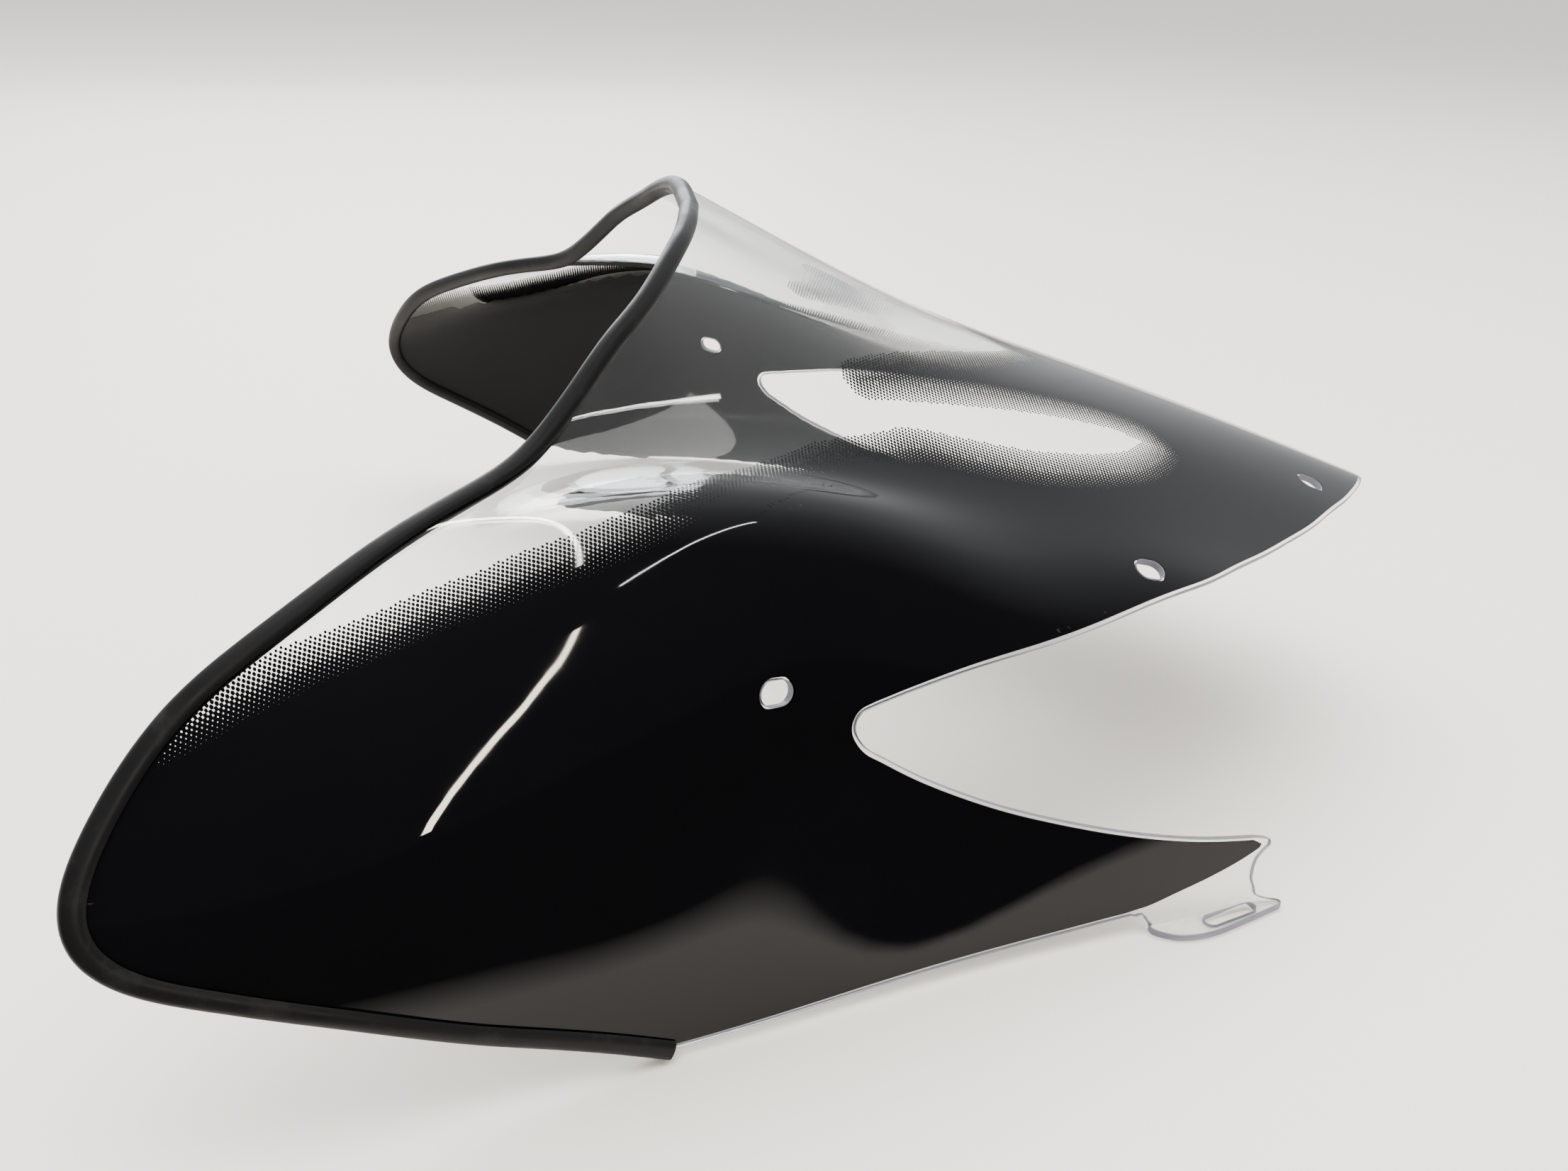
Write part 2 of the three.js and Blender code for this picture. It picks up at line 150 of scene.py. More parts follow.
STATIONS = np.array(sorted(SECTIONS), float)
SPREAD = np.array([-m for m in MARKS[:0:-1]] + MARKS, float)
HALF_X = np.array([[p[0] for p in SECTIONS[y]] for y in sorted(SECTIONS)], float)
HALF_Z = np.array([[p[1] for p in SECTIONS[y]] for y in sorted(SECTIONS)], float)
NET_X = np.hstack([-HALF_X[:, :0:-1], HALF_X])
NET_Z = np.hstack([HALF_Z[:, :0:-1], HALF_Z])
STATION_BENDS = bend_matrix(STATIONS)
MARK_BENDS = bend_matrix(SPREAD)
TO_REST = np.array(Matrix.Rotation(-TIP, 3, "X"))


def mould(places):
    """Points of the mould, standing as the part stands, for an array of (mark, station)."""
    places = np.asarray(places, float)
    across = weights(SPREAD, MARK_BENDS, places[:, 0])
    along = weights(STATIONS, STATION_BENDS, places[:, 1])
    x = np.einsum("ni,nj,ji->n", across, along, NET_X)
    z = np.einsum("ni,nj,ji->n", across, along, NET_Z)
    points = np.stack([x, places[:, 1], z], 1)
    return points @ TO_REST.T + (0, REST_Y, REST_Z)


def unit(v):
    return v / np.linalg.norm(v, axis=-1, keepdims=True)


# ------------------------------------------------------------------ the tabs' bend
FOOT_Z = SHEET / 2
TAB_FROM_MARK = 300  # the tabs lie past this mark,
TAB_FROM_Y = -78  # ahead of this station
KNEE_Y = np.arange(-140.0, -69.0, 1.0)  # stations at which the knee is worked out
KNEE_REACH = 3  # stations taken on each side for the knee's own direction


def find_knees():
    """For each station, where the wall would meet the foot's middle plane."""
    marks = np.linspace(290, 345, 111)  # half a mark apart
    knees = []
    for y in KNEE_Y:
        z = mould([(m, y) for m in marks])[:, 2]
        knees.append(np.interp(FOOT_Z, z[::-1], marks[::-1]))
    return np.array(knees)


KNEE_MARK = find_knees()


def knee_frame(y):
    """At a station: the knee's mark, mm per mark, where the bend starts, and the two directions."""
    knee = np.interp(y, KNEE_Y, KNEE_MARK)
    low = mould(np.stack([knee - 2, y], 1))
    at = mould(np.stack([knee, y], 1))
    scale = np.linalg.norm(at - low, axis=1) / 2
    start_mark = knee - BEND / scale
    start = mould(np.stack([start_mark, y], 1))
    above = mould(np.stack([start_mark - 1, y], 1))
    down = unit(start - above)
    corner = start + down * ((FOOT_Z - start[:, 2]) / down[:, 2])[:, None]
    front, back = y - KNEE_REACH, y + KNEE_REACH
    ahead = mould(np.stack([np.interp(front, KNEE_Y, KNEE_MARK), front], 1))
    behind = mould(np.stack([np.interp(back, KNEE_Y, KNEE_MARK), back], 1))
    line = unit((ahead - behind) * (1, 1, 0))
    outwards = np.stack([-line[:, 1], line[:, 0], np.zeros(len(y))], 1)
    return knee, scale, start, corner, outwards


def sheet_points(places):
    """Middle of the sheet: the mould, and past a tab's knee the bend and the flat foot."""
    places = np.asarray(places, float)
    points = mould(places)
    mark = np.abs(places[:, 0])
    side = np.sign(places[:, 0])
    near = np.flatnonzero((mark > TAB_FROM_MARK) & (places[:, 1] < TAB_FROM_Y))
    if not len(near):
        return points
    y = np.clip(places[near, 1], KNEE_Y[0] + KNEE_REACH + 1, KNEE_Y[-1] - KNEE_REACH - 1)
    knee, scale, start, corner, outwards = knee_frame(y)
    past = (mark[near] - knee) * scale
    u = np.clip((past + BEND) / (2 * BEND), 0, 1)[:, None]
    end = corner + outwards * BEND
    bent = (1 - u) ** 2 * start + 2 * u * (1 - u) * corner + u**2 * end
    bent += outwards * np.maximum(past - BEND, 0)[:, None]
    bent[:, 0] *= side[near]
    bends = past > -BEND
    points[near[bends]] = bent[bends]
    return points


def foot_places(outline):
    """(mark, station) of points given from above on the right tab's foot."""
    places = []
    for x, y in outline:
        station = y
        for _ in range(8):
            knee, scale, _, corner, outwards = knee_frame(np.array([station]))
            off = np.array([x, y]) - corner[0, :2]
            past = off @ outwards[0, :2]
            station += (off - past * outwards[0, :2])[1]
        places.append((knee[0] + past / scale[0], station))
    return places


def surface(places):
    """Points, outward normals and the two step vectors (per mark, per mm of station)."""
    places = np.asarray(places, float)
    step = 0.25
    per_mark = (sheet_points(places + (step, 0)) - sheet_points(places - (step, 0))) / (2 * step)
    per_mm = (sheet_points(places + (0, step)) - sheet_points(places - (0, step))) / (2 * step)
    return sheet_points(places), unit(np.cross(per_mark, per_mm)), per_mark, per_mm


def moved(places, vectors):
    """Places moved along the surface by vectors in space."""
    places = np.asarray(places, float)
    _, _, a, b = surface(places)
    aa, ab, bb = (a * a).sum(1), (a * b).sum(1), (b * b).sum(1)
    va, vb = (vectors * a).sum(1), (vectors * b).sum(1)
    d = aa * bb - ab * ab
    return places + np.stack([(va * bb - vb * ab) / d, (vb * aa - va * ab) / d], 1)


# ------------------------------------------------------------------ outlines
CURVE_STEPS = 24  # between two points of an outline, before it is spaced evenly
ROUND_POINTS = 13  # on a slot's half-round end


def blurred(line, rounds):
    """A line with each place moved towards its neighbours, many times over; its ends stay."""
    line = line.copy()
    for _ in range(rounds):
        line[1:-1] += (line[:-2] + line[2:] - 2 * line[1:-1]) / 4
    return line


def eased(line, spacing, reach):
    """An evenly spaced line with its waves shorter than the reach taken out, at its full size."""
    rounds = int(2 * (reach / spacing) ** 2)
    once = blurred(line, rounds)
    return 2 * once - blurred(once, rounds)


def smooth(points, spacing, reach=0.0):
    """A Catmull-Rom curve through points, in steps of about the spacing, eased over a reach."""
    p = np.array(points, float)
    p = np.vstack([2 * p[0] - p[1], p, 2 * p[-1] - p[-2]])
    fine = []
    for i in range(1, len(p) - 2):
        t = np.linspace(0, 1, CURVE_STEPS, endpoint=False)[:, None]
        a, b, c, d = p[i - 1 : i + 3]
        fine.append(0.5 * (2 * b + (c - a) * t + (2 * a - 5 * b + 4 * c - d) * t**2
                           + (3 * b - a - 3 * c + d) * t**3))
    fine = np.vstack(fine + [p[-2:-1]])
    run = np.r_[0, np.cumsum(np.linalg.norm(np.diff(sheet_points(fine), axis=0), axis=1))]
    steps = np.linspace(0, run[-1], max(int(round(run[-1] / spacing)), 1) + 1)
    line = np.stack([np.interp(steps, run, fine[:, k]) for k in (0, 1)], 1)
    return eased(line, spacing, reach)


def chain(*curves):
    """Curves joined end to end, each given as (points, spacing) or (points, spacing, reach)."""
    parts = [smooth(*curve) for curve in curves]
    return np.vstack([parts[0]] + [part[1:] for part in parts[1:]])


def both_sides(right):
    """A closed loop over both halves from a right half that runs from x = 0 back to x = 0."""
    left = right[-2:0:-1] * (-1, 1)
    return np.vstack([right, left])


def loop_frame(loop, closed=True):
    """Points, normals and the directions away from the material, for a line of places.

    A closed loop has the material on its left, and an open line has it on its right.
    """
    points, normals, _, _ = surface(loop)
    if closed:
        along = np.roll(points, -1, 0) - np.roll(points, 1, 0)
    else:
        along = -np.gradient(points, axis=0)
    return points, normals, unit(np.cross(unit(along), normals))


def area(loop):
    x, y = loop[:, 0], loop[:, 1]
    return 0.5 * np.sum(x * np.roll(y, -1) - y * np.roll(x, -1))


def turned(loop, left_hand):
    """The loop with its material on its left (outline) or on its right (hole)."""
    return loop if (area(loop) > 0) == left_hand else loop[::-1]


def grown(loop, distance, closed=True):
    """A loop moved away from its material, by mm in space; negative moves into it."""
    _, _, away = loop_frame(loop, closed)
    return moved(loop, away * distance)


def slot_loop(length, width, spacing):
    """A slot with round ends, as (along, across)."""
    reach = (length - width) / 2
    ends = np.linspace(-math.pi / 2, math.pi / 2, ROUND_POINTS)
    right = np.stack([reach + np.cos(ends) * width / 2, np.sin(ends) * width / 2], 1)
    straight = max(int(2 * reach / spacing), 1)
    along = np.linspace(reach, -reach, straight + 1)[1:-1]
    top = np.stack([along, np.full(len(along), width / 2)], 1)
    half = np.vstack([right, top])
    return np.vstack([half, -half])


def hole_loop(place, margin=0.0):
    """A screw hole's outline: a circle flattened on its two long sides."""
    centre = np.array([place], float)
    _, normal, _, per_mm = surface(centre)
    along = unit(per_mm)
    across = np.cross(normal, along)
    shape = slot_loop(HOLE_ALONG + 2 * margin, HOLE_ACROSS + 2 * margin, 0.8)
    vectors = shape[:, :1] * along + shape[:, 1:] * across
    return turned(moved(np.repeat(centre, len(shape), 0), vectors), False)


BARE_EDGE = [(PRONG_EDGE, 2.2, LONG_REACH), (NOTCH_ROOT, 1.0, 1.0), (NOSE_EDGE, 2.2, LONG_REACH)]
REAR = smooth(REAR_EDGE, 2.0, LONG_REACH)
FOOT_PLACES = foot_places(FOOT_EDGE)
SHEET_HALF = np.vstack([
    REAR,
    chain(
        (LOWER_EDGE, 2.5), (TAB_REAR + FOOT_PLACES[:1], 0.9), (FOOT_PLACES, 0.9),
        (FOOT_PLACES[-1:] + TAB_FRONT, 0.9), (PRONG_TIP, 0.8), *BARE_EDGE,
    )[1:],
])
SHEET_LOOP = turned(both_sides(SHEET_HALF), True)
HOLE_PLACES = [(side * mark, y) for mark, y in HOLES for side in (1, -1)]


def tab_slot(side):
    shape = slot_loop(SLOT_LENGTH, SLOT_WIDTH, 1.0)
    cos, sin = math.cos(SLOT_ANGLE), math.sin(SLOT_ANGLE)
    plan = shape @ np.array([[cos, sin], [-sin, cos]]) + SLOT_CENTRE
    return turned(np.array(foot_places(plan)) * (side, 1), False)


# ------------------------------------------------------------------ meshes from places
def inside(points, loop):
    """Which points lie inside a closed loop, by counting crossings."""
    x, y = points[:, :1], points[:, 1:]
    x0, y0 = loop[:, 0], loop[:, 1]
    x1, y1 = np.roll(x0, -1), np.roll(y0, -1)
    crosses = (y0 > y) != (y1 > y)
    with np.errstate(divide="ignore", invalid="ignore"):
        at = x0 + (y - y0) * (x1 - x0) / (y1 - y0)
    return (np.count_nonzero(crosses & (x < at), axis=1) % 2) == 1


def distance(points, line, closed=True):
    """Distance from points to a line of places, both as plane coordinates."""
    a = line if closed else line[:-1]
    b = np.roll(line, -1, 0) if closed else line[1:]
    best = np.full(len(points), 1e9)
    for p, q in zip(a, b):
        d = q - p
        t = np.clip(((points - p) @ d) / max(d @ d, 1e-12), 0, 1)
        best = np.minimum(best, np.linalg.norm(points - p - t[:, None] * d, axis=1))
    return best


def lattice(loop, step_mark, step_y):
    """Points of a staggered grid, symmetrical about the centre line, inside a loop's box."""
    low, high = loop.min(0), loop.max(0)
    rows = []
    for k, y in enumerate(np.arange(low[1], high[1], step_y)):
        shift = 0.5 * (k % 2)
        count = int(high[0] / step_mark) + 2
        marks = (np.arange(-count, count + 1) + shift) * step_mark
        rows.append(np.stack([marks, np.full(len(marks), y)], 1))
    return np.vstack(rows)


def region(outline, holes, step_mark=4.0, step_y=3.4, clearance=1.7):
    """Triangles over the places inside an outline and outside its holes."""
    points = lattice(outline, step_mark, step_y)
    points = points[inside(points, outline)]
    for hole in holes:
        points = points[~inside(points, hole)]
    for loop in [outline] + holes:
        low, high = loop.min(0) - clearance, loop.max(0) + clearance
        close = np.flatnonzero(np.all((points > low) & (points < high), axis=1))
        keep = np.ones(len(points), bool)
        keep[close] = distance(points[close], loop) > clearance
        points = points[keep]
    loops = [outline] + holes
    edges = []
    start = 0
    for loop in loops:
        edges += [(start + i, start + (i + 1) % len(loop)) for i in range(len(loop))]
        start += len(loop)
    places = np.vstack(loops + [points])
    found = delaunay_2d_cdt([Vector(p) for p in places], edges, [], 0, 1e-7)
    places = np.array([tuple(v) for v in found[0]])
    triangles = np.array(found[2])
    middles = places[triangles].mean(1)
    keep = inside(middles, outline)
    for hole in holes:
        keep &= ~inside(middles, hole)
    triangles = triangles[keep]
    corner = places[triangles]
    spin = np.cross(corner[:, 1] - corner[:, 0], corner[:, 2] - corner[:, 0])
    triangles[spin < 0] = triangles[spin < 0][:, ::-1]
    sources = {old: new for new, group in enumerate(found[3]) for old in group}
    rims = []
    start = 0
    for loop in loops:
        rims.append([sources[start + i] for i in range(len(loop))])
        start += len(loop)
    return places, triangles, rims


def mesh_object(name, points, faces, normals, materials, material_of):
    """An object in metres with the given normals, riding on the part's one body."""
    me = bpy.data.meshes.new(name)
    me.from_pydata((np.asarray(points) / 1000).tolist(), [], faces)
    me.polygons.foreach_set("use_smooth", [True] * len(me.polygons))
    for material in materials:
        me.materials.append(material)
    me.polygons.foreach_set("material_index", material_of)
    me.normals_split_custom_set_from_vertices(np.asarray(normals).tolist())
    me.update()
    ob = bpy.data.objects.new(name, me)
    bpy.context.scene.collection.objects.link(ob)
    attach(ob, "root")
    return ob


# ------------------------------------------------------------------ materials
PAINTED_SHADE_FADE = "dot_shade_fade"  # mask of the painted shade on the satin side: 0 (full painted shade) where the solid print meets its dots, 1 well away from them


def shader(name, **values):
    """A new material with a Principled shader; returns it with its node tree and shader."""
    mat = bpy.data.materials.new(name)
    mat.use_nodes = True
    tree = mat.node_tree
    node = tree.nodes["Principled BSDF"]
    for key, value in values.items():
        node.inputs[key.replace("_", " ")].default_value = value
    return mat, tree, node


def noise(tree, scale, detail, stretch=(1, 1, 1), roughness=0.55):
    where = tree.nodes.new("ShaderNodeTexCoord")
    place = tree.nodes.new("ShaderNodeMapping")
    place.inputs["Scale"].default_value = stretch
    tree.links.new(where.outputs["Object"], place.inputs["Vector"])
    node = tree.nodes.new("ShaderNodeTexNoise")
    node.inputs["Scale"].default_value = scale
    node.inputs["Detail"].default_value = detail
    node.inputs["Roughness"].default_value = roughness
    tree.links.new(place.outputs["Vector"], node.inputs["Vector"])
    return node.outputs["Fac"]


def ranged(tree, value, low, high, out_low, out_high):
    node = tree.nodes.new("ShaderNodeMapRange")
    node.inputs["From Min"].default_value = low
    node.inputs["From Max"].default_value = high
    node.inputs["To Min"].default_value = out_low
    node.inputs["To Max"].default_value = out_high
    tree.links.new(value, node.inputs["Value"])
    return node.outputs["Result"]


def bump(tree, height, strength, distance_m, node):
    b = tree.nodes.new("ShaderNodeBump")
    b.inputs["Strength"].default_value = strength
    b.inputs["Distance"].default_value = distance_m
    tree.links.new(height, b.inputs["Height"])
    tree.links.new(b.outputs["Normal"], node.inputs["Normal"])


def blended(tree, share, first, second):
    """A mix of two colours, each given as numbers or as the output of another node."""
    node = tree.nodes.new("ShaderNodeMix")
    node.data_type = "RGBA"
    tree.links.new(share, node.inputs[0])
    for socket, value in ((node.inputs[6], first), (node.inputs[7], second)):
        if isinstance(value, bpy.types.NodeSocket):
            tree.links.new(value, socket)
        else:
            socket.default_value = (*value, 1)
    return node.outputs[2]


def either(tree, share, first, second):
    """The surface shows the first shader's output, or the second's as the share goes to 1."""
    mix = tree.nodes.new("ShaderNodeMixShader")
    tree.links.new(share, mix.inputs[0])
    tree.links.new(first.outputs[0], mix.inputs[1])
    tree.links.new(second.outputs[0], mix.inputs[2])
    tree.links.new(mix.outputs[0], tree.nodes["Material Output"].inputs["Surface"])


def acrylic():
    """Clear sheet: polished, faintly cool, with handling smears in its gloss. It lets light by."""
    mat, tree, node = shader(
        "clear_acrylic", Base_Color=(0.965, 0.98, 0.985, 1), Roughness=0.02, IOR=1.49,
        Transmission_Weight=1.0,
    )
    smear = noise(tree, 14, 5, (1, 0.35, 1), 0.65)
    tree.links.new(ranged(tree, smear, 0.45, 0.8, 0.008, 0.07), node.inputs["Roughness"])
    wave = noise(tree, 16, 1.5)
    bump(tree, wave, 0.12, 0.0006, node)
    light = tree.nodes.new("ShaderNodeLightPath")
    clear = tree.nodes.new("ShaderNodeBsdfTransparent")
    clear.inputs["Color"].default_value = (0.93, 0.95, 0.955, 1)
    either(tree, light.outputs["Is Shadow Ray"], node, clear)
    return mat


def cut_edge():
    """The sheet's routed edge: frosted, so it gathers light and shows pale."""
    mat, tree, node = shader(
        "routed_edge", Base_Color=(0.26, 0.26, 0.31, 1), Roughness=0.3, IOR=1.49,
        Transmission_Weight=0.4,
    )
    marks = noise(tree, 420, 4, (1, 1, 6), 0.6)
    tree.links.new(ranged(tree, marks, 0.3, 0.7, 0.3, 0.55), node.inputs["Roughness"])
    bump(tree, marks, 0.35, 0.0001, node)
    return mat


def ink(name, colour, roughness, spread, grain, grain_depth, specular, dot_shade=None):
    """Black print. Seen through the sheet it has the sheet's gloss; its free side is satin.

    Towards the dots the free side turns to a darker colour and a lower roughness, given as the last
    argument, so that it
    meets them without a step: they are seen through the sheet from both sides. The darker colour is
    painted shade.
    """
    mat, tree, node = shader(
        name, Base_Color=(*colour, 1), Roughness=roughness, Specular_IOR_Level=specular, IOR=1.49,
    )
    cloud = noise(tree, 20, 5, (1, 0.4, 1), 0.6)
    rough = ranged(tree, cloud, 0.4, 0.8, roughness, roughness + spread)
    tint = blended(tree, cloud, [c * 0.8 for c in colour], [c * 1.25 for c in colour])
    # painted shade: towards the dots the satin's colour is darkened, by the mask attribute
    if dot_shade:
        shade_fade = tree.nodes.new("ShaderNodeAttribute")
        shade_fade.attribute_name = PAINTED_SHADE_FADE
        tint = blended(tree, shade_fade.outputs["Fac"], dot_shade[0], tint)
        rough = blended(tree, shade_fade.outputs["Fac"], [dot_shade[1]] * 3, rough)
    tree.links.new(rough, node.inputs["Roughness"])
    tree.links.new(tint, node.inputs["Base Color"])
    bump(tree, noise(tree, grain, 3), 0.25, grain_depth, node)
    return mat


def rubber():
    """Extruded black rubber: satin, with fine drag lines and a little dust."""
    mat, tree, node = shader(
        "black_rubber", Base_Color=(0.016, 0.016, 0.017, 1), Roughness=0.4, Specular_IOR_Level=0.3,
    )
    dust = noise(tree, 60, 6, roughness=0.7)
    tint = blended(tree, ranged(tree, dust, 0.55, 0.85, 0, 0.6), (0.012, 0.012, 0.013), (0.05, 0.05, 0.05))
    tree.links.new(tint, node.inputs["Base Color"])
    tree.links.new(ranged(tree, dust, 0.3, 0.75, 0.32, 0.55), node.inputs["Roughness"])
    grain = noise(tree, 700, 4)
    bump(tree, grain, 0.3, 0.00008, node)
    return mat


# ------------------------------------------------------------------ the clear sheet
def make_sheet():
    holes = [hole_loop(place) for place in HOLE_PLACES]
    slots = [tab_slot(side) for side in (1, -1)]
    places, triangles, rims = region(SHEET_LOOP, holes + slots)
    middle, normal, _, _ = surface(places)
    inset = np.zeros_like(middle)
    loops = []
    for rim in rims:
        _, _, away = loop_frame(places[rim])
        loops.append((rim, away))
        inset[rim] = -away * EDGE_ROUND
    half = SHEET / 2
    count = len(middle)
    points = [middle + inset + normal * half, middle + inset - normal * half]
    normals = [normal, -normal]
    faces = triangles.tolist() + (triangles[:, ::-1] + count).tolist()
    material_of = [0] * len(faces)
    total = 2 * count
    slope = math.sqrt(0.5)
    corner = half - EDGE_ROUND
    for rim, away in loops:
        n = len(rim)
        base, up = middle[rim], normal[rim]
        back = EDGE_ROUND * (1 - slope)
        rows = [
            (base - away * back + up * (corner + EDGE_ROUND * slope), up + away),
            (base + up * corner, away),
            (base - up * corner, away),
            (base - away * back - up * (corner + EDGE_ROUND * slope), away - up),
        ]
        indices = [np.array(rim)]
        for row, facing in rows:
            points.append(row)
            normals.append(unit(facing))
            indices.append(np.arange(total, total + n))
            total += n
        indices.append(np.array(rim) + count)
        for upper, lower in zip(indices, indices[1:]):
            un, ln = np.roll(upper, -1), np.roll(lower, -1)
            faces += np.stack([upper, lower, ln, un], 1).tolist()
            material_of += [1] * n
    ob = mesh_object(
        "clear_sheet", np.vstack(points), faces, np.vstack(normals), [acrylic(), cut_edge()], material_of
    )
    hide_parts("screen")
    return ob


# ------------------------------------------------------------------ the print
# Plane coordinates for the dot screen: true girth from the centre line, and true length of
# the ridge. The printing was flat and even, so the dots keep one pitch over the screen.
PLANE_STEP = 4.0
PLANE_Y = np.arange(-224.0, 216.1, PLANE_STEP)
PLANE_MARK = np.arange(0.0, 331.0, 1.0)
RIDGE = 1.13  # about how long the ridge is for each mm of station


def girth_table():
    rows = []
    for y in PLANE_Y:
        line = mould(np.stack([PLANE_MARK, np.full(len(PLANE_MARK), y)], 1))
        rows.append(np.r_[0, np.cumsum(np.linalg.norm(np.diff(line, axis=0), axis=1))])
    return np.array(rows)


GIRTH = girth_table()


def to_plane(places):
    places = np.asarray(places, float)
    row = np.clip((places[:, 1] - PLANE_Y[0]) / PLANE_STEP, 0, len(PLANE_Y) - 1.001)
    low = row.astype(int)
    out = np.empty(len(places))
    for r in np.unique(low):
        pick = low == r
        share = row[pick] - r
        mark = np.abs(places[pick, 0])
        first = np.interp(mark, PLANE_MARK, GIRTH[r])
        second = np.interp(mark, PLANE_MARK, GIRTH[r + 1])
        out[pick] = first * (1 - share) + second * share
    return np.stack([np.sign(places[:, 0]) * out, places[:, 1] * RIDGE], 1)


def from_plane(points):
    y = points[:, 1] / RIDGE
    row = np.clip((y - PLANE_Y[0]) / PLANE_STEP, 0, len(PLANE_Y) - 1.001)
    low = row.astype(int)
    mark = np.empty(len(points))
    for r in np.unique(low):
        pick = low == r
        share = (row[pick] - r)[:, None]
        table = GIRTH[r] * (1 - share) + GIRTH[r + 1] * share
        want = np.abs(points[pick, 0])
        after = np.clip((table < want[:, None]).sum(1), 1, len(PLANE_MARK) - 1)
        pos = np.arange(len(want))
        lo, hi = table[pos, after - 1], table[pos, after]
        mark[pick] = PLANE_MARK[after - 1] + (want - lo) / (hi - lo)
    return np.stack([np.sign(points[:, 0]) * mark, y], 1)


WINDOW_HALF = to_plane(smooth(WINDOW, 2.0))
WINDOW_LOOP = both_sides(np.vstack([WINDOW_HALF, [[0, WINDOW_HALF[-1, 1]]]]))
WINDOW_REACH = 16  # the grid of dots reaches this far outside the window's bounds

# Where things happen across the fade: 0 is its clear side and 1 its black side.
DOTS_FROM, DOTS_TO = 0.02, 1.5
SOLID_FROM = 1.02
SATIN_SHADE_FROM, SATIN_SHADE_EASE = 1.0, 1.3  # the satin side carries full painted shade at the first share and sheds it, reaching its own tone, this much further on
DOT_SHARES = [0, 0.25, 0.6, 1.0]
DOT_RADII = [0.3, 0.42, 0.56, 0.71]  # in pitches, at those shares

# Heights off the sheet's outer face and below its inner one. The outer layers are what shows
# from outside and the satin ones what shows from inside; the dots have both on the outer face.
SOLID_LIFT = 0.03
SATIN_DROP = 0.04
DOT_LIFT = 0.04
DOT_SINK = 0.05


def ink_share(plane):
    """0 where the fade is clear, 1 where it is full black, by distance from its middle."""
    off = distance(plane, WINDOW_HALF, closed=False)
    off = np.minimum(off, distance(plane * (-1, 1), WINDOW_HALF, closed=False))
    off[inside(plane, WINDOW_LOOP)] *= -1
    front = np.clip((WING_FROM - plane[:, 1]) / (WING_FROM - FRONT_FROM), 0, 1)
    width = FADE_WING + (FADE_FRONT - FADE_WING) * front
    return off / width + 0.5


def print_outline():
    """The printed area's outer edge: under the channel, then inside the bare edges."""
    rear = grown(REAR, -TRIM_COVER, closed=False)
    lower = grown(smooth(LOWER_EDGE, 2.5), -CLEAR_MARGIN, closed=False)
    limit = smooth(PRINT_LIMIT, 1.5)
    front = grown(chain(*BARE_EDGE), -CLEAR_MARGIN, closed=False)
    rear[0, 0] = 0
    lower = lower[1:-1]
    keep = lower[:, 1] < rear[-1, 1] - 1
    front[-1, 0] = 0
    return turned(both_sides(np.vstack([rear, lower[keep], limit, front])), True)


def dot_shape(r):
    """A dot of a radius, as corners about its centre: a disc cut off where it meets its neighbours."""
    side = DOT_PITCH / 2
    if r >= side * math.sqrt(2):
        return np.array([(side, side), (-side, side), (-side, -side), (side, -side)])
    if r <= side:
        turn = (np.arange(8) + 0.5) * math.pi / 4
        return np.stack([np.cos(turn) * r, np.sin(turn) * r], 1)
    start = math.acos(side / r)
    bow = np.linspace(start, math.pi / 2 - start, 2)
    quarter = np.stack([np.cos(bow) * r, np.sin(bow) * r], 1)
    quarters = np.arange(4) * math.pi / 2
    return np.vstack([
        quarter @ np.array([[math.cos(q), math.sin(q)], [-math.sin(q), math.cos(q)]]) for q in quarters
    ])


def dot_cells(outline, holes):
    """Corners and faces of the dot screen, inside the printed area and clear of the holes."""
    low, high = WINDOW_LOOP.min(0) - WINDOW_REACH, WINDOW_LOOP.max(0) + WINDOW_REACH
    count = int(high[0] / DOT_PITCH)
    columns = np.arange(-count, count + 1) * DOT_PITCH
    centres = np.stack(np.meshgrid(columns, np.arange(low[1], high[1], DOT_PITCH)), 2).reshape(-1, 2)
    share = ink_share(centres)
    pick = (share > DOTS_FROM) & (share < DOTS_TO)
    centres, share = centres[pick], share[pick]
    at = from_plane(centres)
    pick = inside(at, outline)
    for hole in holes:
        pick &= ~inside(at, hole)
    centres, share = centres[pick], share[pick]
    corners = []
    faces = []
    for centre, radius in zip(centres, DOT_PITCH * np.interp(share, DOT_SHARES, DOT_RADII)):
        shape = dot_shape(radius)
        faces.append(list(range(len(corners), len(corners) + len(shape))))
        corners += (shape + centre).tolist()
    return from_plane(np.array(corners)), faces


